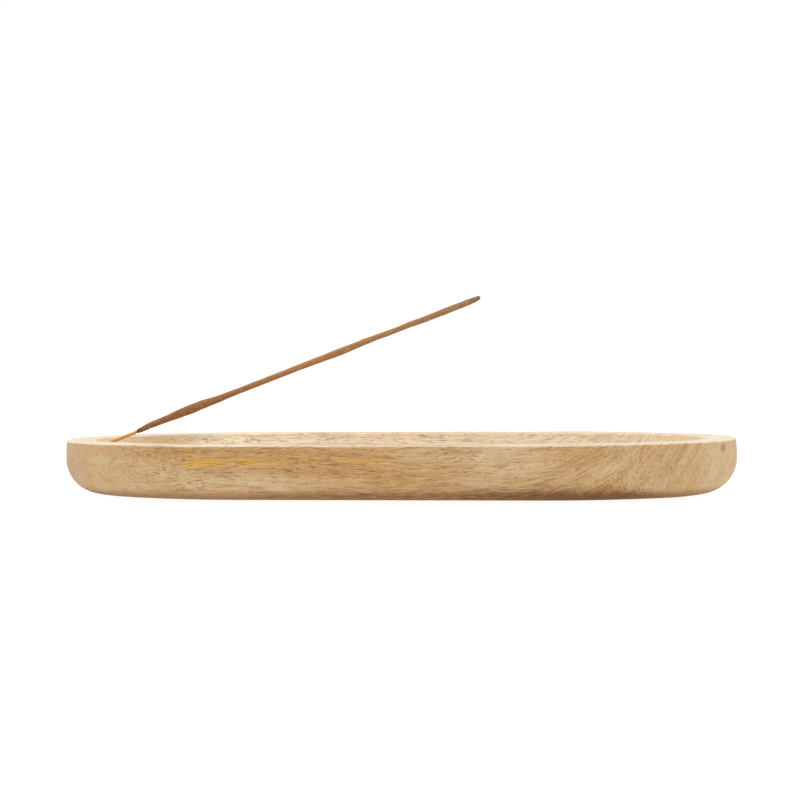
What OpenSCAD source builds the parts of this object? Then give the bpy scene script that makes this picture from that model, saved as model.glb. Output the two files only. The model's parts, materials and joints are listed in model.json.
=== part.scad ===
// Incense burner: a shallow oval tray carved from one block of wood, with a
// slanted hole in one end that holds a single incense stick over the tray.
// X runs along the tray, Y across it and Z up. The origin is the centre of
// the flat base. All sizes are in millimetres.

/* [Tray outline] */
// Length of the tray, tip to tip
tray_length = 300; // [270:5:320]
// Width of the tray at its middle
tray_width = 100; // [96:1:104]
// Height of the tray, base to rim
tray_height = 25.5; // [24.5:0.5:28]
// Plan radius of each rounded tip
tip_radius = 36.4; // [36:0.2:38]

/* [Underside] */
// Radius of the rounding from the side wall into the underside
side_round = 15.5; // [15:0.5:16]
// Height at which the side wall stops being upright
side_round_top = 17.1; // [16.5:0.1:17.5]
// How far the wall leans out from the rim down to the side rounding
wall_lean = 0.35; // [0:0.05:0.6]
// Radius of the shallow belly between the rounding and the flat base
belly_radius = 90; // [80:1:95]

/* [Recess] */
// Width of the flat rim
rim_width = 13; // [11:0.5:15]
// Depth of the recess below the rim
recess_depth = 12.5; // [10:0.5:12.5]
// Slope of the recess wall where it meets the rim, from the horizontal
wall_slope = 65; // [65:1:80]

/* [Stick] */
// Angle of the stick above the horizontal
stick_angle = 20.6; // [18:0.2:24]
// Distance from the tip of the tray in to the foot of the hole
hole_foot_inset = 5; // [4.5:0.5:7]
// Height of the foot of the hole above the base
hole_foot_z = 18.6; // [18:0.1:20]
// Diameter of the hole
hole_diameter = 2; // [1.8:0.1:2.4]
// Diameter of the bamboo core
core_diameter = 1.5; // [1.2:0.1:1.5]
// Length of bare bamboo below the incense paste
bare_length = 28.8; // [26:0.1:32]
// Length of the incense paste
paste_length = 167.2; // [160:0.1:180]
// Diameter of the paste along most of the stick
paste_diameter = 2.8; // [2.6:0.1:3.2]
// Diameter of the paste at the swelling near its lower end
swelling_diameter = 4.1; // [3.4:0.1:4.4]

/* [Hidden] */
$fn = 96;

// Plan outline: a tip arc and a shoulder arc meet on the line through both
// their centres. That line rises 45 in 28, a right triangle with whole sides
// (28, 45, 53), so every centre and cut comes out as a round number
half_width = tray_width / 2;
triangle = [28, 45, 53];
triangle_unit = (half_width - tip_radius) / (triangle.z - triangle.y);
shoulder_radius = tip_radius + triangle.z * triangle_unit;
tip_centre_x = tray_length / 2 - tip_radius;
shoulder_centre_x = tip_centre_x - triangle.x * triangle_unit;
shoulder_centre_y = triangle.y * triangle_unit;
// A point outside the tray, on the line through both centres
outer_point = [tip_centre_x + 2 * triangle.x, 2 * triangle.y];

// Underside section, measured inwards from the outline: the belly arc is
// tangent to the flat base and, at blend_angle, to the side rounding
radius_gap = belly_radius - side_round;
blend_angle = asin((belly_radius - side_round_top) / radius_gap);
base_inset = side_round + radius_gap * cos(blend_angle);

// Recess section: one cove arc, tangent to the flat floor
floor_z = tray_height - recess_depth;
cove_radius = recess_depth / (1 - cos(wall_slope));
floor_inset = rim_width + cove_radius * sin(wall_slope);

// Size of the small bevel on the outer edge of the rim
rim_bevel = 0.6;

// Number of straight steps along each arc of the section
round_steps = 10;
belly_steps = 3;
cove_steps = 8;

// Stick: the paste covers the end of the bamboo
tip_cover = 1;
covered_length = paste_length - tip_cover;
hole_foot_x = tray_length / 2 - hole_foot_inset;
// The hole is cut from its foot to well outside the wall
hole_cut = 30;

// How far the plan cuts reach above and below the tray
overshoot = 5;

// Points of an arc in the section, as [inset from the outline, height]. The
// angle is 0 towards the outline and 90 downwards
function section_arc(centre, radius, from, to, steps) = [
    for (i = [0 : steps])
        let (angle = from + (to - from) * i / steps)
        centre - radius * [cos(angle), sin(angle)]
];

// The half section as insets and heights, from the middle of the floor over
// the rim and down to the middle of the base
function half_section(middle_inset) = concat(
    [[middle_inset, floor_z]],
    section_arc([floor_inset, floor_z + cove_radius], cove_radius,
                90, 90 - wall_slope, cove_steps),
    [[wall_lean + rim_bevel, tray_height], [wall_lean, tray_height - rim_bevel]],
    section_arc([side_round, side_round_top], side_round, 0, blend_angle, round_steps),
    section_arc([base_inset, belly_radius], belly_radius, blend_angle, 90, belly_steps),
    [[middle_inset, 0]]
);

// Rounding to a thousandth keeps neighbouring sectors exactly alike
function snap(value) = round(value * 1000) / 1000;

// Half section of the tray: the outline is at x = reach, the middle at x = 0
module tray_section(reach) {
    polygon([for (p = half_section(reach)) [reach - snap(p.x), snap(p.y)]]);
}

// Keeps what stands over a region of the plan
module over_plan(points) {
    intersection() {
        children();
        translate([0, 0, -overshoot])
            linear_extrude(tray_height + 2 * overshoot) polygon(points);
    }
}

// Rounded tip of the tray, at the +X end
module tip_sector() {
    over_plan([[tip_centre_x, 0], [outer_point.x, -outer_point.y], outer_point])
        translate([tip_centre_x, 0, 0]) rotate_extrude() tray_section(tip_radius);
}

// Shoulder of the tray, on the +X +Y side, cut off at the mid-plane
module shoulder_sector() {
    over_plan([[shoulder_centre_x, 0], [tip_centre_x, 0],
               outer_point, [shoulder_centre_x, outer_point.y]])
        translate([shoulder_centre_x, -shoulder_centre_y, 0])
            rotate_extrude() tray_section(shoulder_radius);
}

// The straight-sided middle of the tray, on the +Y side
module middle_block() {
    translate([-shoulder_centre_x, 0, 0]) rotate([90, 0, 90])
        linear_extrude(2 * shoulder_centre_x) tray_section(half_width);
}

// Two ends, made from one by mirroring
module both_ends() {
    children();
    mirror([1, 0, 0]) children();
}

// Two sides, made from one by mirroring
module both_sides() {
    children();
    mirror([0, 1, 0]) children();
}

// Puts its children on the stick's axis, which starts at the foot of the
// hole and rises towards +X
module on_stick_axis() {
    translate([-hole_foot_x, 0, hole_foot_z]) rotate([0, 90 - stick_angle, 0]) children();
}

module tray() {
    color("burlywood") difference() {
        union() {
            both_ends() tip_sector();
            both_ends() both_sides() shoulder_sector();
            both_sides() middle_block();
        }
        on_stick_axis() cylinder(d = hole_diameter, h = hole_cut);
    }
}

module bamboo_core() {
    color("goldenrod") on_stick_axis()
        cylinder(d = core_diameter, h = bare_length + covered_length);
}

// Paste outline: thin where it starts, swollen a little above that, then even
// with slight waves, and rounded at the tip
module paste_outline() {
    paste_radius = paste_diameter / 2;
    swelling_radius = swelling_diameter / 2;
    polygon([
        [0, 0],
        [core_diameter * 0.7, 0],
        [paste_radius, 5],
        [paste_radius * 1.1, 14],
        [swelling_radius * 0.92, 20],
        [swelling_radius, 26],
        [swelling_radius * 0.95, 32],
        [paste_radius * 1.1, 39],
        [paste_radius * 0.94, 48],
        [paste_radius, 62],
        [paste_radius * 1.04, 85],
        [paste_radius * 1.15, 98],
        [paste_radius * 0.95, 114],
        [paste_radius * 0.92, 128],
        [paste_radius * 1.08, 150],
        [paste_radius, paste_length - 6],
        [paste_radius * 0.86, paste_length - 3],
        [paste_radius * 0.5, paste_length],
        [0, paste_length],
    ]);
}

module incense_paste() {
    color("sienna") on_stick_axis() translate([0, 0, bare_length]) difference() {
        rotate_extrude() paste_outline();
        cylinder(d = core_diameter, h = covered_length);
    }
}

tray();
bamboo_core();
incense_paste();
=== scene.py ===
"""The looks of an incense burner: a carved oval wooden tray and one incense stick.

Lengths are in millimetres while shapes are worked out, and MM turns them into
Blender's metres when a mesh is made. X runs along the tray, Z is up, and the
origin is the centre of the tray's flat base, as in the CAD frame.
"""

import json
import math

import bmesh
import bpy
import numpy as np
from mathutils import Matrix, Vector, noise


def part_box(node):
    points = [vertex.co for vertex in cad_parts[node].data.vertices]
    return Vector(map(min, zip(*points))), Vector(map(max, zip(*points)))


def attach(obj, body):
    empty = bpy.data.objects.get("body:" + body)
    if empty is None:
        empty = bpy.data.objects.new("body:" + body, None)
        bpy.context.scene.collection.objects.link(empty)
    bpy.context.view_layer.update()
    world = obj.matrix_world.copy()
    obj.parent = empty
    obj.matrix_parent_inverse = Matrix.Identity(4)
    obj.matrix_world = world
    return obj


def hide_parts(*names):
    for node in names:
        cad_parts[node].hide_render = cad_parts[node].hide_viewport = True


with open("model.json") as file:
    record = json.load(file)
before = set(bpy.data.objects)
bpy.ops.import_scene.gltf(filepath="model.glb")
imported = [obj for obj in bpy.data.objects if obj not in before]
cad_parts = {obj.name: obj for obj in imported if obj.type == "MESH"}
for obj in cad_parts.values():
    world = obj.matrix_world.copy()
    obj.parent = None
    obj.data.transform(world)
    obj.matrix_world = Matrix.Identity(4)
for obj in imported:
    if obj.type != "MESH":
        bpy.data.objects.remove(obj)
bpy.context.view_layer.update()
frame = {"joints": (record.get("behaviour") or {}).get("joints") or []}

MM = 0.001
QUARTER = math.pi / 2


# --------------------------------------------------------------------------
# Sizes
# --------------------------------------------------------------------------

def box_mm(node):
    """Lowest and highest corner of a CAD node, in millimetres."""
    low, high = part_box(node)
    return low / MM, high / MM


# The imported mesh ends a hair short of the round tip, so its length is rounded
tray_low, tray_high = box_mm("tray")
TRAY_LENGTH = 2 * round(tray_high.x)
TRAY_WIDTH = tray_high.y - tray_low.y
TRAY_HEIGHT = tray_high.z

# Plan outline: a tip arc and a shoulder arc meet on the line through their
# centres, which is the longest side of a 28-45-53 triangle
TRIANGLE = (28, 45, 53)
TIP_RADIUS = 36.4
TRIANGLE_UNIT = (TRAY_WIDTH / 2 - TIP_RADIUS) / (TRIANGLE[2] - TRIANGLE[1])
SHOULDER_RADIUS = TIP_RADIUS + TRIANGLE[2] * TRIANGLE_UNIT
TIP_X = TRAY_LENGTH / 2 - TIP_RADIUS
SHOULDER_X = TIP_X - TRIANGLE[0] * TRIANGLE_UNIT
SHOULDER_Y = TRIANGLE[1] * TRIANGLE_UNIT
JOIN_ANGLE = math.atan2(TRIANGLE[1], TRIANGLE[0])

# Underside: a rounding, then a shallow belly arc that runs into the flat base
SIDE_ROUND = 15.5
SIDE_ROUND_TOP = 17.1
BELLY_RADIUS = 90
BLEND_ANGLE = math.asin((BELLY_RADIUS - SIDE_ROUND_TOP) / (BELLY_RADIUS - SIDE_ROUND))
BASE_INSET = SIDE_ROUND + (BELLY_RADIUS - SIDE_ROUND) * math.cos(BLEND_ANGLE)

# Rim and recess: one cove arc leads from the rim down to a flat floor
RIM_WIDTH = 13
WALL_LEAN = 0.35
RECESS_DEPTH = 12.5
WALL_SLOPE = math.radians(65)
FLOOR_Z = TRAY_HEIGHT - RECESS_DEPTH
COVE_RADIUS = RECESS_DEPTH / (1 - math.cos(WALL_SLOPE))
FLOOR_INSET = RIM_WIDTH + COVE_RADIUS * math.sin(WALL_SLOPE)
RIM_EDGE = 0.6

# The tray's mesh: spacing round the outline, steps along each stretch of the
# section and across the flats, and how close points merge
RAY_SPACING = 0.9
COVE_STEPS = 36
RIM_STEPS = 14
SIDE_STEPS = 26
BELLY_STEPS = 14
FLAT_STEPS = 10
CORNER_STEPS = 6
MERGE_DISTANCE = 0.002

# Hand sanding: how deep its waves are in the recess and on the other surfaces,
# how long, and over what height above the flat base they fade in
RECESS_WAVE = 0.22
OUTSIDE_WAVE = 0.09
LONG_WAVE = 11
SHORT_WAVE = 4
WAVE_FADE = 2

# Stick: its axis comes from the joint, and its foot from the bamboo's box
AXIS = Vector(frame["joints"][0]["axis"]).normalized()
SIDEWAYS = Vector((0, 1, 0))
UPWARDS = AXIS.cross(SIDEWAYS)
core_low, core_high = box_mm("bamboo_core")
CORE_RADIUS = (core_high.y - core_low.y) / 2
FOOT = Vector((core_low.x + CORE_RADIUS * AXIS.z, 0, core_low.z + CORE_RADIUS * AXIS.x))
# Mean radius of the split bamboo, a little under the CAD core's
BAMBOO_RADIUS = 0.73
# How far the bamboo's mesh runs on under the paste
BAMBOO_OVERLAP = 3
PASTE_START = 28.8
PASTE_LENGTH = 167.2
HOLE_RADIUS = 1.0
# The hole is cut from its foot to well outside the wall
HOLE_CUT = 30


# --------------------------------------------------------------------------
# Mesh helpers
# --------------------------------------------------------------------------

def new_object(name, mesh):
    """An object for a finished mesh, linked to the scene."""
    obj = bpy.data.objects.new(name, mesh)
    bpy.context.scene.collection.objects.link(obj)
    return obj


def mesh_from(name, points, faces):
    """A smooth-shaded mesh from points in millimetres."""
    mesh = bpy.data.meshes.new(name)
    mesh.from_pydata([tuple(p * MM) for p in np.asarray(points, float)], [], faces)
    mesh.update()
    mesh.shade_smooth()
    return mesh


def ring_faces(rings, count):
    """Quads between successive closed rings of count points each."""
    faces = []
    for r in range(rings - 1):
        for i in range(count):
            j = (i + 1) % count
            a, b = r * count, (r + 1) * count
            faces.append((a + i, a + j, b + j, b + i))
    return faces


def recalculate_normals(mesh):
    """Turns every face of a closed mesh outwards."""
    bm = bmesh.new()
    bm.from_mesh(mesh)
    bmesh.ops.recalc_face_normals(bm, faces=bm.faces)
    bm.to_mesh(mesh)
    bm.free()


def smooth_noise(point, size, layer):
    """Perlin noise in -1..1 at a point in millimetres.

    size is its grain in mm, and each layer is a different part of the noise.
    """
    layer_offset = Vector((3.7, 1.9, 8.3)) * (layer + 1)
    return noise.noise(Vector(point) / size + layer_offset)


# --------------------------------------------------------------------------
# Tray
# --------------------------------------------------------------------------

def outline_rays(spacing):
    """The outline as rays: centre x, centre y, radius and direction of each point.

    Moving in by an inset only shortens the ray, so every ring of the tray is
    made from the same rays.
    """
    def arc(cx, cy, radius, start, end):
        steps = max(2, round(radius * abs(end - start) / spacing))
        return [(cx, cy, radius, start + (end - start) * i / steps) for i in range(steps)]

    half = TRAY_WIDTH / 2
    steps = round(2 * SHOULDER_X / spacing)
    xs = [SHOULDER_X - 2 * SHOULDER_X * i / steps for i in range(steps)]
    back = [(x, 0, half, QUARTER) for x in xs]
    front = [(-x, 0, half, -QUARTER) for x in xs]
    left = (arc(-SHOULDER_X, -SHOULDER_Y, SHOULDER_RADIUS, QUARTER, math.pi - JOIN_ANGLE)
            + arc(-TIP_X, 0, TIP_RADIUS, math.pi - JOIN_ANGLE, math.pi + JOIN_ANGLE)
            + arc(-SHOULDER_X, SHOULDER_Y, SHOULDER_RADIUS, math.pi + JOIN_ANGLE, 3 * QUARTER))
    right = (arc(SHOULDER_X, SHOULDER_Y, SHOULDER_RADIUS, -QUARTER, -JOIN_ANGLE)
             + arc(TIP_X, 0, TIP_RADIUS, -JOIN_ANGLE, JOIN_ANGLE)
             + arc(SHOULDER_X, -SHOULDER_Y, SHOULDER_RADIUS, JOIN_ANGLE, QUARTER))
    return np.array(back + left + front + right)


def ring(rays, inset, height):
    """The points of the outline moved in by inset, at a height."""
    reach = rays[:, 2] - inset
    x = rays[:, 0] + reach * np.cos(rays[:, 3])
    y = rays[:, 1] + reach * np.sin(rays[:, 3])
    return np.stack([x, y, np.full(len(rays), height)], axis=1)


def section_arc(inset, height, radius, start, end, steps):
    """Points of an arc in the section; angle 0 faces the outline, 90 degrees down."""
    angles = np.linspace(start, end, steps + 1)
    return [(inset - radius * math.cos(a), height - radius * math.sin(a)) for a in angles]


def eased_corner(before, corner, after, size):
    """A small rounding, from before's side of a corner to after's side."""
    before, corner, after = (Vector(p) for p in (before, corner, after))
    start = corner + (before - corner).normalized() * size
    end = corner + (after - corner).normalized() * size
    ts = [i / CORNER_STEPS for i in range(CORNER_STEPS + 1)]
    return [tuple(start * (1 - t) ** 2 + corner * 2 * t * (1 - t) + end * t * t) for t in ts]


def tray_section():
    """(inset, height) pairs from the recess floor over the rim to the flat base."""
    cove = section_arc(FLOOR_INSET, FLOOR_Z + COVE_RADIUS, COVE_RADIUS,
                       QUARTER, QUARTER - WALL_SLOPE, COVE_STEPS)
    inner = (RIM_WIDTH, TRAY_HEIGHT)
    outer = (WALL_LEAN, TRAY_HEIGHT)
    flat = RIM_WIDTH - WALL_LEAN
    rim = [(RIM_WIDTH - flat * i / RIM_STEPS, TRAY_HEIGHT) for i in range(2, RIM_STEPS - 1)]
    upright = TRAY_HEIGHT - SIDE_ROUND_TOP
    wall = [(WALL_LEAN * t * t, SIDE_ROUND_TOP + upright * t) for t in np.arange(0.8, 0.05, -0.1)]
    side = section_arc(SIDE_ROUND, SIDE_ROUND_TOP, SIDE_ROUND, 0, BLEND_ANGLE, SIDE_STEPS)
    belly = section_arc(BASE_INSET, BELLY_RADIUS, BELLY_RADIUS,
                        BLEND_ANGLE, QUARTER, BELLY_STEPS)
    return (cove[:-2]
            + eased_corner(cove[-2], inner, outer, RIM_EDGE)
            + rim
            + eased_corner(inner, outer, wall[0], RIM_EDGE)
            + wall + side + belly[1:])


def flat_fill(rays, inset, height, first, count, flip):
    """Points and faces that close a ring onto the tray's middle line.

    The ring's own points start at index first; the rows in between and the
    middle line get new indices from count on.
    """
    edge = ring(rays, inset, height)
    middle = edge.copy()
    middle[:, 0] = np.clip(edge[:, 0], -TIP_X, TIP_X)
    middle[:, 1] = 0
    points = []
    for r in range(1, FLAT_STEPS + 1):
        share = r / FLAT_STEPS
        points.append(edge * (1 - share) + middle * share)
    n = len(rays)
    faces = []
    for r in range(FLAT_STEPS):
        a = first if r == 0 else count + (r - 1) * n
        b = count + r * n
        for i in range(n):
            j = (i + 1) % n
            quad = (a + i, a + j, b + j, b + i)
            faces.append(quad[::-1] if flip else quad)
    return np.concatenate(points), faces


def carve_unevenly(mesh):
    """Moves the surface in and out by a fraction of a millimetre, as hand sanding does.

    The waves are about twice as long along the tray as across it.
    """
    normals = [v.normal.copy() for v in mesh.vertices]
    for v, normal in zip(mesh.vertices, normals):
        p = v.co / MM
        in_recess = normal.z > 0.2 and p.z < TRAY_HEIGHT - 1
        depth = RECESS_WAVE if in_recess else OUTSIDE_WAVE
        wave = smooth_noise((p.x * 0.45, p.y, p.z), LONG_WAVE, 1)
        wave += 0.4 * smooth_noise((p.x * 0.6, p.y, p.z), SHORT_WAVE, 2)
        fade = min(1, max(0, (p.z - 0.4) / WAVE_FADE))
        v.co += normal * (wave * depth * fade * MM)
    mesh.update()


def drill(obj):
    """Cuts the slanted blind hole that holds the stick."""
    bm = bmesh.new()
    turn = AXIS.to_track_quat("Z", "Y").to_matrix().to_4x4()
    centre = (FOOT + AXIS * (HOLE_CUT / 2)) * MM
    bmesh.ops.create_cone(bm, cap_ends=True, segments=48, radius1=HOLE_RADIUS * MM,
                          radius2=HOLE_RADIUS * MM, depth=HOLE_CUT * MM,
                          matrix=Matrix.Translation(centre) @ turn)
    mesh = bpy.data.meshes.new("drill")
    bm.to_mesh(mesh)
    bm.free()
    cutter = new_object("drill", mesh)
    cut = obj.modifiers.new("hole", "BOOLEAN")
    cut.operation = "DIFFERENCE"
    cut.solver = "EXACT"
    cut.object = cutter
    drilled = bpy.data.meshes.new_from_object(
        obj.evaluated_get(bpy.context.evaluated_depsgraph_get()))
    obj.modifiers.clear()
    obj.data = drilled
    bpy.data.objects.remove(cutter)


def tray_mesh():
    """The tray's closed skin: rings swept round the outline, then the two flats."""
    rays = outline_rays(RAY_SPACING)
    section = tray_section()
    rings = [ring(rays, inset, height) for inset, height in section]
    n = len(rays)
    points = np.concatenate(rings)
    faces = ring_faces(len(rings), n)
    floor, floor_faces = flat_fill(rays, *section[0], 0, len(points), True)
    points = np.concatenate([points, floor])
    base, base_faces = flat_fill(rays, *section[-1], (len(rings) - 1) * n, len(points), False)
    points = np.concatenate([points, base])
    mesh = mesh_from("wooden_tray", points, faces + floor_faces + base_faces)
    bm = bmesh.new()
    bm.from_mesh(mesh)
    bmesh.ops.remove_doubles(bm, verts=bm.verts, dist=MERGE_DISTANCE * MM)
    bmesh.ops.dissolve_degenerate(bm, edges=bm.edges, dist=MERGE_DISTANCE / 2 * MM)
    bmesh.ops.recalc_face_normals(bm, faces=bm.faces)
    bm.to_mesh(mesh)
    bm.free()
    return mesh


def build_tray():
    """The carved tray, with its recess, its softened rim and the drilled hole."""
    mesh = tray_mesh()
    carve_unevenly(mesh)
    obj = new_object("wooden_tray", mesh)
    drill(obj)
    obj.data.shade_smooth()
    obj.data.set_sharp_from_angle(angle=math.radians(50))
    return obj


# --------------------------------------------------------------------------
# Stick
# --------------------------------------------------------------------------

def eased(knots, at):
    """Smooth curve through (position, value) knots."""
    xs, ys = zip(*knots)
    if at <= xs[0]:
        return ys[0]
    for (x0, y0), (x1, y1) in zip(knots, knots[1:]):
        if at <= x1:
            t = (at - x0) / (x1 - x0)
            return y0 + (y1 - y0) * t * t * (3 - 2 * t)
    return ys[-1]


# How far the stick's centre line strays above its axis: distance along it, height
STRAY = [(0, 0), (26, 0), (30, 0.2), (36, 0.6), (42, 0.58), (54, 0.66), (61, 0.66),
         (69, 0.43), (80, 0.46), (113, 0.45), (127, 0.26), (134, 0.27), (142, 0.38),
         (156, 0.13), (161, 0.16), (170, -0.05), (192, -0.1), (196, 0.05)]

# The paste's outline: distance from where it starts, diameter
PASTE_WIDTHS = [(0, 1.9), (2, 2.35), (5, 2.8), (9, 3.05), (14, 3.1), (20, 3.75), (26, 4.1),
                (32, 3.9), (36, 3.5), (39, 3.2), (44, 2.85), (51, 2.65), (64, 2.8), (78, 2.9),
                (90, 3.0), (99, 3.25), (110, 2.85), (116, 2.62), (127, 2.55), (140, 2.87),
                (151, 3.05), (161, 2.8), (164, 2.5), (166.2, 1.95), (167.1, 1.2), (167.2, 0.2)]


def stick_point(distance, angle, radius):
    """A point beside the stick's axis, distance along it and radius out from it."""
    sway = eased(STRAY, distance)
    out = SIDEWAYS * math.cos(angle) + UPWARDS * math.sin(angle)
    return FOOT + AXIS * distance + UPWARDS * sway + out * radius


def tube(name, distances, around, radius_at):
    """A closed skin round the stick's axis; radius_at(distance, angle) in mm."""
    points = []
    for d in distances:
        for i in range(around):
            angle = 2 * math.pi * i / around
            points.append(stick_point(d, angle, radius_at(d, angle)))
    faces = ring_faces(len(distances), around)
    last = (len(distances) - 1) * around
    faces.append(tuple(reversed(range(around))))
    faces.append(tuple(range(last, last + around)))
    mesh = mesh_from(name, points, faces)
    recalculate_normals(mesh)
    return new_object(name, mesh)


def build_core():
    """The split-bamboo core: slightly squared, with fibre ridges along it."""
    def radius_at(distance, angle):
        squared = 0.03 * math.cos(4 * angle + 0.6)
        ridges = 0.022 * math.cos(11 * angle + 0.03 * distance)
        p = (distance * 0.25, math.cos(angle) * 0.7, math.sin(angle) * 0.7)
        rough = 0.03 * smooth_noise(p, 0.6, 3)
        return BAMBOO_RADIUS + squared + ridges + rough

    end = PASTE_START + BAMBOO_OVERLAP
    distances = np.concatenate([[0.02], np.linspace(0.12, end, 160)])
    obj = tube("bamboo_splint", distances, 44, radius_at)
    obj.data.set_sharp_from_angle(angle=math.radians(50))
    return obj


def build_paste():
    """The hand-rolled paste: waves, flats, lumps and a grainy skin."""
    def radius_at(distance, angle):
        d = distance - PASTE_START
        radius = eased(PASTE_WIDTHS, d) / 2
        on_skin = (distance, radius * math.cos(angle), radius * math.sin(angle))
        twist = 0.045 * d
        rolled = 0.035 * math.cos(2 * (angle - twist)) + 0.02 * math.cos(3 * angle + twist)
        lumps = 0.075 * smooth_noise((on_skin[0] * 0.35, on_skin[1], on_skin[2]), 1.5, 4)
        grains = 0.04 * smooth_noise(on_skin, 0.42, 5) + 0.02 * smooth_noise(on_skin, 0.2, 6)
        ends = min(1, d / 2, (PASTE_LENGTH - d) / 1.2)
        return max(0.08, radius * (1 + rolled * ends) + (lumps + grains) * max(0.15, ends))

    start, end = PASTE_START, PASTE_START + PASTE_LENGTH
    near_start = start + np.array([0, 0.1, 0.3, 0.55, 0.85])
    middle = np.linspace(start + 1.15, end - 1.5, 700)
    near_end = end - np.array([1.28, 1.08, 0.9, 0.72, 0.55, 0.4, 0.26, 0.14, 0.06, 0.0])
    obj = tube("incense_coat", np.concatenate([near_start, middle, near_end]), 56, radius_at)
    obj.data.set_sharp_from_angle(angle=math.radians(60))
    return obj


# --------------------------------------------------------------------------
# Materials
# --------------------------------------------------------------------------

class Graph:
    """A material's node tree, built by calls that return output sockets."""

    def __init__(self, name):
        self.material = bpy.data.materials.new(name)
        self.material.use_nodes = True
        self.tree = self.material.node_tree
        self.tree.nodes.clear()
        self.shader = self.tree.nodes.new("ShaderNodeBsdfPrincipled")
        output = self.tree.nodes.new("ShaderNodeOutputMaterial")
        self.tree.links.new(self.shader.outputs["BSDF"], output.inputs["Surface"])
        coords = self.tree.nodes.new("ShaderNodeTexCoord")
        self.place = self.scaled(coords.outputs["Object"], 1 / MM)
        self.normal = coords.outputs["Normal"]

    def put(self, socket, value):
        """Links a socket to the one that value is, or else sets it to value."""
        if isinstance(value, bpy.types.NodeSocket):
            self.tree.links.new(value, socket)
        else:
            socket.default_value = value

    def math(self, operation, *values, clamp=False):
        node = self.tree.nodes.new("ShaderNodeMath")
        node.operation = operation
        node.use_clamp = clamp
        for socket, value in zip(node.inputs, values):
            self.put(socket, value)
        return node.outputs[0]

    def scaled(self, vector, factor):
        node = self.tree.nodes.new("ShaderNodeVectorMath")
        node.operation = "SCALE"
        self.put(node.inputs[0], vector)
        self.put(node.inputs["Scale"], factor)
        return node.outputs[0]

    def split(self, vector):
        node = self.tree.nodes.new("ShaderNodeSeparateXYZ")
        self.put(node.inputs[0], vector)
        return node.outputs

    def join(self, x, y, z):
        node = self.tree.nodes.new("ShaderNodeCombineXYZ")
        for socket, value in zip(node.inputs, (x, y, z)):
            self.put(socket, value)
        return node.outputs[0]

    def stretched(self, axes, sizes, shift=0.0):
        """A texture place whose features are about sizes (x, y, z) mm across."""
        return self.join(*[self.math("MULTIPLY_ADD", a, 1 / s, shift)
                           for a, s in zip(axes, sizes)])

    def noise(self, place, detail=2.0, roughness=0.5):
        node = self.tree.nodes.new("ShaderNodeTexNoise")
        self.put(node.inputs["Vector"], place)
        node.inputs["Scale"].default_value = 1.0
        node.inputs["Detail"].default_value = detail
        node.inputs["Roughness"].default_value = roughness
        return node.outputs["Fac"]

    def step(self, value, low, high, to_low=0.0, to_high=1.0):
        """Smooth step of value from low to high."""
        node = self.tree.nodes.new("ShaderNodeMapRange")
        node.interpolation_type = "SMOOTHSTEP"
        for socket, v in zip(node.inputs, (value, low, high, to_low, to_high)):
            self.put(socket, v)
        return node.outputs[0]

    def ramp(self, value, *stops):
        """A colour that runs through (position, colour) stops."""
        node = self.tree.nodes.new("ShaderNodeValToRGB")
        elements = node.color_ramp.elements
        while len(elements) < len(stops):
            elements.new(0.5)
        for element, (position, colour) in zip(elements, stops):
            element.position = position
            element.color = (*colour, 1)
        self.put(node.inputs[0], value)
        return node.outputs[0]

    def mix(self, share, a, b):
        """Colour a with a share of colour b in it."""
        node = self.tree.nodes.new("ShaderNodeMix")
        node.data_type = "RGBA"
        self.put(node.inputs["Factor"], share)
        for key, value in (("A", a), ("B", b)):
            socket = [s for s in node.inputs if s.name == key and s.type == "RGBA"][0]
            self.put(socket, (*value, 1) if isinstance(value, tuple) else value)
        return [s for s in node.outputs if s.type == "RGBA"][0]

    def bump(self, height, distance, strength):
        node = self.tree.nodes.new("ShaderNodeBump")
        node.inputs["Strength"].default_value = strength
        node.inputs["Distance"].default_value = distance * MM
        self.put(node.inputs["Height"], height)
        return node.outputs[0]

    def finish(self, colour, roughness, normal=None, **constants):
        """The finished material; constants set other sockets of its shader."""
        self.put(self.shader.inputs["Base Color"], colour)
        self.put(self.shader.inputs["Roughness"], roughness)
        if normal is not None:
            self.put(self.shader.inputs["Normal"], normal)
        for name, value in constants.items():
            self.shader.inputs[name.replace("_", " ")].default_value = value
        return self.material


def rgb(red, green, blue):
    """Linear colour from 0-255 screen values."""
    return tuple((c / 255) ** 2.2 for c in (red, green, blue))


# --------------------------------------------------------------------------
# Wood
# --------------------------------------------------------------------------

# Its broad colours, from pale to warm
PALE = rgb(207, 181, 143)
BEIGE = rgb(196, 168, 128)
ASHY = rgb(178, 154, 130)
SAND = rgb(190, 157, 111)
TAN = rgb(182, 144, 97)
WARM = rgb(187, 140, 89)
AMBER = rgb(180, 133, 79)
GOLD = rgb(204, 152, 58)

# Painted top light and sheen on surfaces that face up, and a paler painted sheen on the rim
# towards the tips
PAINTED_TOP_LIGHT = rgb(240, 222, 190)
PAINTED_TIP_SHEEN = rgb(234, 226, 216)

# Fibres, pores and the heart of the log; CHESTNUT also paints the shade underneath
CREAM = rgb(210, 187, 151)
BROWN = rgb(154, 114, 69)
BARK = rgb(113, 68, 24)
CHESTNUT = rgb(120, 75, 22)
UMBER = rgb(80, 47, 14)

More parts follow.
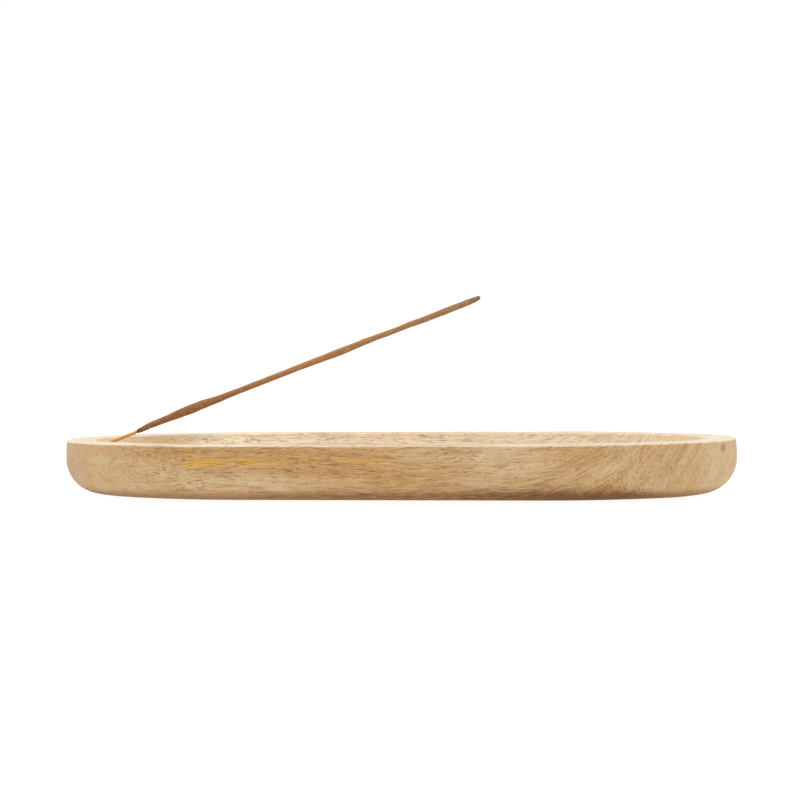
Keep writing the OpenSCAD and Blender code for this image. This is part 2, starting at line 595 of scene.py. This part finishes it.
# Broad changes of tint: centre, half size, share and colour
TINTS = [
    ((-85, -50, 23), (72, 20, 7), 0.7, AMBER),
    ((-20, -50, 18.5), (40, 20, 8.5), 0.82, AMBER),
    ((18, -50, 12), (28, 20, 8), 0.5, AMBER),
    ((86, -50, 22), (22, 20, 7), 0.6, AMBER),
    ((80, -50, 9), (32, 20, 5), 0.4, AMBER),
    ((-62, -50, 10.5), (55, 20, 5), 0.4, PALE),
    ((59, -50, 20), (24, 20, 9), 0.5, PALE),
    ((152, -6, 16), (26, 60, 26), 0.6, PALE),
    ((-152, -6, 14), (26, 60, 26), 0.7, ASHY),
    # This amber patch at the recess's left end, round the hole, is painted shade
    ((-118, 30, 22), (26, 20, 12), 0.8, AMBER),
    ((10, -44, 26), (52, 9, 3), 0.5, AMBER),
    ((-66, -44, 26.5), (36, 9, 3), 0.9, PALE),
    ((-66, 42, 20), (36, 18, 9), 0.7, PALE),
]

# Golden patches on the front side: centre, half size and strength
GOLDEN_PATCHES = [
    ((-75, -50, 17.6), (15, 16, 3.4), 1.0),
    ((-57, -50, 18.0), (11, 16, 2.8), 0.9),
    ((-38, -50, 19.5), (16, 16, 3.6), 0.35),
    ((-4, -50, 18.6), (15, 16, 2.2), 0.55),
    ((88, -48, 22), (13, 16, 4.0), 0.35),
]

# Where the painted top light and sheen on the rim and the recess is stronger or weaker: centre,
# half size, change
PAINTED_LIGHT_PATCHES = [
    ((-118, 30, 20), (26, 20, 9), -0.3),
    ((-70, 38, 20), (38, 14, 9), 0.38),
    ((-66, -44, 26.5), (38, 7, 2), 0.45),
    ((16, -44, 26), (50, 7, 1.6), -0.14),
]

# A denser speckle near the right end of the front side, and a small knot
SPECKLED_CENTRE, SPECKLED_SIZE = (113, -45, 18), (28, 30, 16)
KNOT_CENTRE, KNOT_SIZE = (145.5, -19, 22.6), (1.7, 3.4, 2.6)


def grain_flow(g, place):
    """Coordinates in which the grain runs straight along X.

    The grain rises towards the +X end of the tray, dives into the surface near
    both ends, and wanders a little everywhere.
    """
    x, y, z = place
    past = g.math("MAXIMUM", g.math("SUBTRACT", x, 45), 0)
    rise = g.math("MULTIPLY", g.math("POWER", past, 3), 8e-5)
    dive = g.math("ADD", g.step(x, 96, 140, 0, 30), g.step(x, -142, -108, 0, 16))
    up = g.noise(g.stretched(place, (46, 15, 13)), detail=1)
    across = g.noise(g.stretched(place, (40, 14, 14), 7.3), detail=1)
    y = g.math("ADD", g.math("SUBTRACT", y, dive), g.math("MULTIPLY_ADD", across, 6, -3))
    z = g.math("ADD", g.math("SUBTRACT", z, rise), g.math("MULTIPLY_ADD", up, 6, -3))
    return (x, y, z)


def patch(g, place, centre, size, core=0.2):
    """1 in the middle of an ellipsoid, fading to 0 at its edge.

    The middle is where the squared distance, 1 at the edge, is under core.
    """
    squares = []
    for a, c, s in zip(place, centre, size):
        off = g.math("MULTIPLY_ADD", a, 1 / s, -c / s)
        squares.append(g.math("MULTIPLY", off, off))
    total = g.math("ADD", g.math("ADD", squares[0], squares[1]), squares[2])
    return g.step(total, 1, core)


def broad_colour(g, place, grain, tone):
    """Slow changes of colour, the tinted regions and the ragged golden patches."""
    colour = g.ramp(tone, (0.28, TAN), (0.44, SAND), (0.58, BEIGE), (0.74, TAN))
    warm = g.noise(g.stretched(grain, (34, 9, 7), 21.3), detail=2)
    colour = g.mix(g.step(warm, 0.5, 0.72, 0, 0.5), colour, WARM)
    for centre, size, share, tint in TINTS:
        spread = patch(g, place, centre, size, 0.1)
        colour = g.mix(g.math("MULTIPLY", spread, share), colour, tint)

    x, y, _ = place
    ragged = g.noise(g.stretched(grain, (14, 1.6, 1.1), 12.4), detail=3, roughness=0.6)
    for centre, size, share in GOLDEN_PATCHES:
        spot = patch(g, (x, y, grain[2]), centre, size, 0.0)
        spot = g.math("MULTIPLY", spot, g.step(ragged, 0.36, 0.6, 0.3, 1.25), clamp=True)
        colour = g.mix(g.math("MULTIPLY", spot, share), colour, GOLD)
    return colour


def painted_light_and_shade(g, place, facing, colour):
    """Painted light and shade: a pale painted top light and sheen on the recess's walls, floor
    and rim, weaker where they face back, a paler painted sheen on the rim towards the tips, and
    painted shade underneath.
    """
    _, facing_back, facing_up = facing
    # Painted top light and sheen: most on the sloping walls that face up, less on the flat rim
    # and floor, and less again where surfaces face back
    painted_light = g.math("MULTIPLY", g.step(facing_up, 0.1, 0.35, 0, 0.62),
                    g.step(facing_up, 0.98, 0.75, 0.3, 1))
    for centre, size, change in PAINTED_LIGHT_PATCHES:
        spread = patch(g, place, centre, size, 0.1)
        painted_light = g.math("MULTIPLY_ADD", spread, change, painted_light, clamp=True)
    painted_light = g.math("MULTIPLY", painted_light, g.step(facing_back, 0.1, 0.42, 1, 0.15))
    colour = g.mix(painted_light, colour, PAINTED_TOP_LIGHT)
    # Painted sheen on surfaces that face up, growing towards the tips
    tip_sheen = g.step(g.math("ABSOLUTE", place[0]), 30, 130, 0, 0.3)
    colour = g.mix(g.math("MULTIPLY", tip_sheen, g.step(facing_up, 0.5, 0.9)), colour, PAINTED_TIP_SHEEN)
    # Painted shade on the surfaces that face down
    return g.mix(g.step(facing_up, -0.68, -0.97, 0, 0.74), colour, CHESTNUT)


def fibres(g, grain, fine, colour):
    """Wide and fine streaks along the grain, both darker and paler."""
    wide = g.noise(g.stretched(grain, (26, 2.4, 1.8), 3.1), detail=2)
    colour = g.mix(g.step(wide, 0.5, 0.74, 0, 0.3), colour, BROWN)
    colour = g.mix(g.step(fine, 0.5, 0.74, 0, 0.44), colour, BROWN)
    return g.mix(g.step(fine, 0.48, 0.28, 0, 0.44), colour, CREAM)


def growth_lines(g, grain):
    """Thin wavy lines along the grain, as where growth rings meet the surface."""
    rings = 9
    field = g.noise(g.stretched(grain, (70, 9, 7), 15.2), detail=2, roughness=0.45)
    wave = g.math("SINE", g.math("MULTIPLY", field, rings * 2 * math.pi))
    broken = g.noise(g.stretched(grain, (7, 2, 1.5), 2.7), detail=3, roughness=0.6)
    lines = g.math("MULTIPLY", g.step(wave, 0.35, 1.0), g.step(broken, 0.45, 0.62))
    x = grain[0]
    along = g.math("MULTIPLY", g.step(x, -112, -88), g.step(x, 138, 112))
    return g.math("MULTIPLY", lines, along)


def dark_strokes(g, grain, colour):
    """Growth lines, thin threads and, towards the left end, a few longer dashes."""
    x = grain[0]
    colour = g.mix(g.math("MULTIPLY", growth_lines(g, grain), 0.42), colour, BARK)
    threads = g.noise(g.stretched(grain, (17, 0.7, 0.46), 18.3), detail=1)
    thread = g.math("MULTIPLY", g.step(threads, 0.62, 0.72), g.step(x, -50, 10, 0.5, 0.26))
    colour = g.mix(thread, colour, BARK)
    dashes = g.noise(g.stretched(grain, (30, 1.5, 0.75), 33.9), detail=1)
    dash = g.math("MULTIPLY", g.step(dashes, 0.63, 0.7), g.step(x, -20, -60, 0, 0.5))
    dash = g.math("MULTIPLY", dash, g.step(x, -128, -106))
    return g.mix(dash, colour, BARK)


def pore_mask(g, place, grain):
    """Short open pores, crowded here and there and rare at the left end."""
    crowd = g.noise(g.stretched(grain, (24, 5, 3.5), 9.1), detail=1)
    pores = g.noise(g.stretched(grain, (3.6, 0.42, 0.4), 1.3), detail=1)
    limit = g.math("MULTIPLY_ADD", crowd, -0.24, 0.74)
    speckled = patch(g, place, SPECKLED_CENTRE, SPECKLED_SIZE)
    limit = g.math("MULTIPLY_ADD", speckled, -0.03, limit)
    limit = g.math("ADD", limit, g.step(place[0], -90, -112, 0, 0.07))
    return g.step(g.math("SUBTRACT", pores, limit), 0, 0.07)


def heartwood(g, place, grain, fine, colour):
    """The darker heart of the log, which reaches the lower edge of the front side."""
    x, y, z = place
    along = g.math("MULTIPLY", g.step(x, -75, -20), g.step(x, 136, 98))
    edge = g.noise(g.stretched(grain, (11, 5, 3), 4.4), detail=3)
    top = g.math("MULTIPLY_ADD", edge, 5, 3.6)
    top = g.math("MULTIPLY_ADD", fine, 5, g.math("ADD", top, g.step(x, 10, 60, -3.3, -2.3)))
    depth = g.math("SUBTRACT", g.math("MULTIPLY", along, top), z)
    heart = g.math("MULTIPLY", g.step(depth, -3.8, 3.2), g.step(y, -10, -34))

    mottle = g.noise(g.stretched(grain, (5, 1.6, 1.0), 6.1), detail=3, roughness=0.65)
    mottle = g.math("ADD", mottle, g.step(x, 20, 75, 0.05, -0.1))
    dark = g.ramp(mottle, (0.3, UMBER), (0.5, CHESTNUT), (0.64, BROWN))
    return g.mix(g.math("MULTIPLY", heart, 0.85), colour, dark)


def wood_material():
    """Pale open-pored hardwood, sanded and hardly finished."""
    g = Graph("pale_carved_wood")
    place = tuple(g.split(g.place))
    facing = tuple(g.split(g.normal))
    grain = grain_flow(g, place)
    tone = g.noise(g.stretched(grain, (60, 12, 6)), detail=3, roughness=0.55)
    fine = g.noise(g.stretched(grain, (9, 0.8, 0.62), 8.6), detail=3, roughness=0.6)
    speck = g.noise(g.stretched(grain, (1.5, 0.5, 0.45), 5.7), detail=2, roughness=0.6)
    pore = pore_mask(g, place, grain)

    colour = broad_colour(g, place, grain, tone)
    # Painted top light and sheen on surfaces that face up, and painted shade underneath
    colour = painted_light_and_shade(g, place, facing, colour)
    colour = fibres(g, grain, fine, colour)
    colour = dark_strokes(g, grain, colour)
    colour = g.mix(g.step(speck, 0.5, 0.7, 0, 0.24), colour, BROWN)
    colour = g.mix(g.step(speck, 0.5, 0.3, 0, 0.24), colour, CREAM)
    colour = g.mix(g.math("MULTIPLY", pore, 0.5), colour, BARK)
    colour = heartwood(g, place, grain, fine, colour)
    knot = patch(g, place, KNOT_CENTRE, KNOT_SIZE)
    colour = g.mix(g.math("MULTIPLY", knot, 0.5), colour, CHESTNUT)

    relief = g.math("SUBTRACT", g.math("MULTIPLY", speck, 0.3), pore)
    gloss = g.step(facing[2], -0.3, 0.6, 0.88, 0.32)
    roughness = g.math("MULTIPLY_ADD", tone, 0.12, gloss)
    return g.finish(colour, roughness, g.bump(relief, 0.1, 0.5), Specular_IOR_Level=0.35)


# --------------------------------------------------------------------------
# Bamboo and paste
# --------------------------------------------------------------------------

def stick_axes(g):
    """Distance along the stick, across it and above it, in millimetres."""
    results = []
    for direction in (AXIS, SIDEWAYS, UPWARDS):
        node = g.tree.nodes.new("ShaderNodeVectorMath")
        node.operation = "DOT_PRODUCT"
        g.put(node.inputs[0], g.place)
        node.inputs[1].default_value = direction
        results.append(g.math("SUBTRACT", node.outputs["Value"], direction.dot(FOOT)))
    return results


def bamboo_material():
    """Golden split bamboo with fibres along the stick."""
    g = Graph("split_bamboo")
    fibre = g.noise(g.stretched(stick_axes(g), (9, 0.16, 0.16)), detail=3, roughness=0.6)
    colour = g.ramp(fibre, (0.3, rgb(168, 116, 40)), (0.5, rgb(204, 156, 70)),
                    (0.7, rgb(228, 190, 104)))
    return g.finish(colour, 0.5, g.bump(fibre, 0.05, 0.6), Specular_IOR_Level=0.3)


def paste_material():
    """Dry incense paste: brown wood powder with ochre, olive and reddish specks."""
    g = Graph("incense_powder_coat")
    axes = stick_axes(g)
    share = g.math("MULTIPLY_ADD", axes[0], 1 / PASTE_LENGTH, -PASTE_START / PASTE_LENGTH)
    base = g.ramp(share, (0.0, rgb(92, 62, 43)), (0.03, rgb(134, 90, 56)),
                  (0.2, rgb(143, 92, 52)), (0.3, rgb(152, 103, 63)), (0.5, rgb(162, 112, 69)),
                  (0.75, rgb(154, 115, 75)), (0.96, rgb(146, 110, 76)), (1.0, rgb(118, 94, 78)))
    blotch = g.noise(g.stretched(axes, (4, 1.3, 1.3)), detail=3, roughness=0.6)
    colour = g.mix(g.step(blotch, 0.48, 0.3, 0, 0.5), base, rgb(128, 96, 58))
    colour = g.mix(g.step(blotch, 0.54, 0.7, 0, 0.6), colour, rgb(176, 108, 62))
    powder = g.noise(g.stretched(axes, (1.1, 0.55, 0.55), 4.1), detail=3, roughness=0.65)
    colour = g.mix(g.step(powder, 0.54, 0.68, 0, 0.6), colour, rgb(205, 158, 102))
    colour = g.mix(g.step(powder, 0.44, 0.3, 0, 0.55), colour, rgb(104, 76, 48))
    height = g.math("MULTIPLY_ADD", blotch, 0.5, powder)
    return g.finish(colour, 0.9, g.bump(height, 0.12, 0.7), Specular_IOR_Level=0.25,
                    Sheen_Weight=0.35, Sheen_Roughness=0.5)


# --------------------------------------------------------------------------
# Stage
# --------------------------------------------------------------------------

def build_floor():
    """A wide plain pale floor, lit a little from below like a photographer's light table."""
    bm = bmesh.new()
    bmesh.ops.create_circle(bm, cap_ends=True, segments=64, radius=40)
    mesh = bpy.data.meshes.new("floor")
    bm.to_mesh(mesh)
    bm.free()
    floor = new_object("floor", mesh)
    g = Graph("pale_floor")
    tint = g.noise(g.scaled(g.place, 0.01), detail=1)
    colour = g.ramp(tint, (0.0, (0.195, 0.195, 0.195)), (1.0, (0.205, 0.205, 0.205)))
    material = g.finish(colour, 0.9, Specular_IOR_Level=0.1, Emission_Strength=0.93)
    g.shader.inputs["Emission Color"].default_value = (1, 1, 1, 1)
    floor.data.materials.append(material)


def build_lights():
    """White surroundings and a wide soft light from overhead."""
    world = bpy.data.worlds.new("studio")
    world.use_nodes = True
    background = world.node_tree.nodes["Background"]
    background.inputs["Color"].default_value = (1, 1, 1, 1)
    background.inputs["Strength"].default_value = 1.0
    bpy.context.scene.world = world

    light = bpy.data.lights.new("overhead", "SUN")
    light.energy = 1.6
    light.angle = math.radians(70)
    lamp = bpy.data.objects.new("overhead", light)
    lamp.rotation_euler = Vector((0.15, -0.2, -1)).to_track_quat("-Z", "Y").to_euler()
    bpy.context.scene.collection.objects.link(lamp)


def build_camera():
    """A long-lens camera that looks just over the rim, from a little to the right."""
    camera = bpy.data.cameras.new("camera")
    camera.lens = 124.7
    camera.sensor_width = 36
    camera.clip_end = 200
    obj = bpy.data.objects.new("camera", camera)
    place = Vector((214.5, -1205.5, 102.6)) * MM
    target = Vector((1.9, 0.4, 42.5)) * MM
    look = (target - place).to_track_quat("-Z", "Y").to_matrix()
    roll = Matrix.Rotation(math.radians(-0.72), 3, "Z")
    obj.matrix_world = Matrix.Translation(place) @ (look @ roll).to_4x4()
    bpy.context.scene.collection.objects.link(obj)
    bpy.context.scene.camera = obj


# --------------------------------------------------------------------------
# Putting it together
# --------------------------------------------------------------------------

def place_piece(obj, body, node, material):
    """Gives a piece its material, ties it to its CAD body and hides the CAD node it replaces."""
    obj.data.materials.clear()
    obj.data.materials.append(material)
    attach(obj, body)
    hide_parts(node)


build_camera()
place_piece(build_tray(), "tray", "tray", wood_material())
place_piece(build_core(), "incense_stick", "bamboo_core", bamboo_material())
place_piece(build_paste(), "incense_stick", "incense_paste", paste_material())
build_floor()
build_lights()
bpy.context.scene.view_settings.view_transform = "Standard"
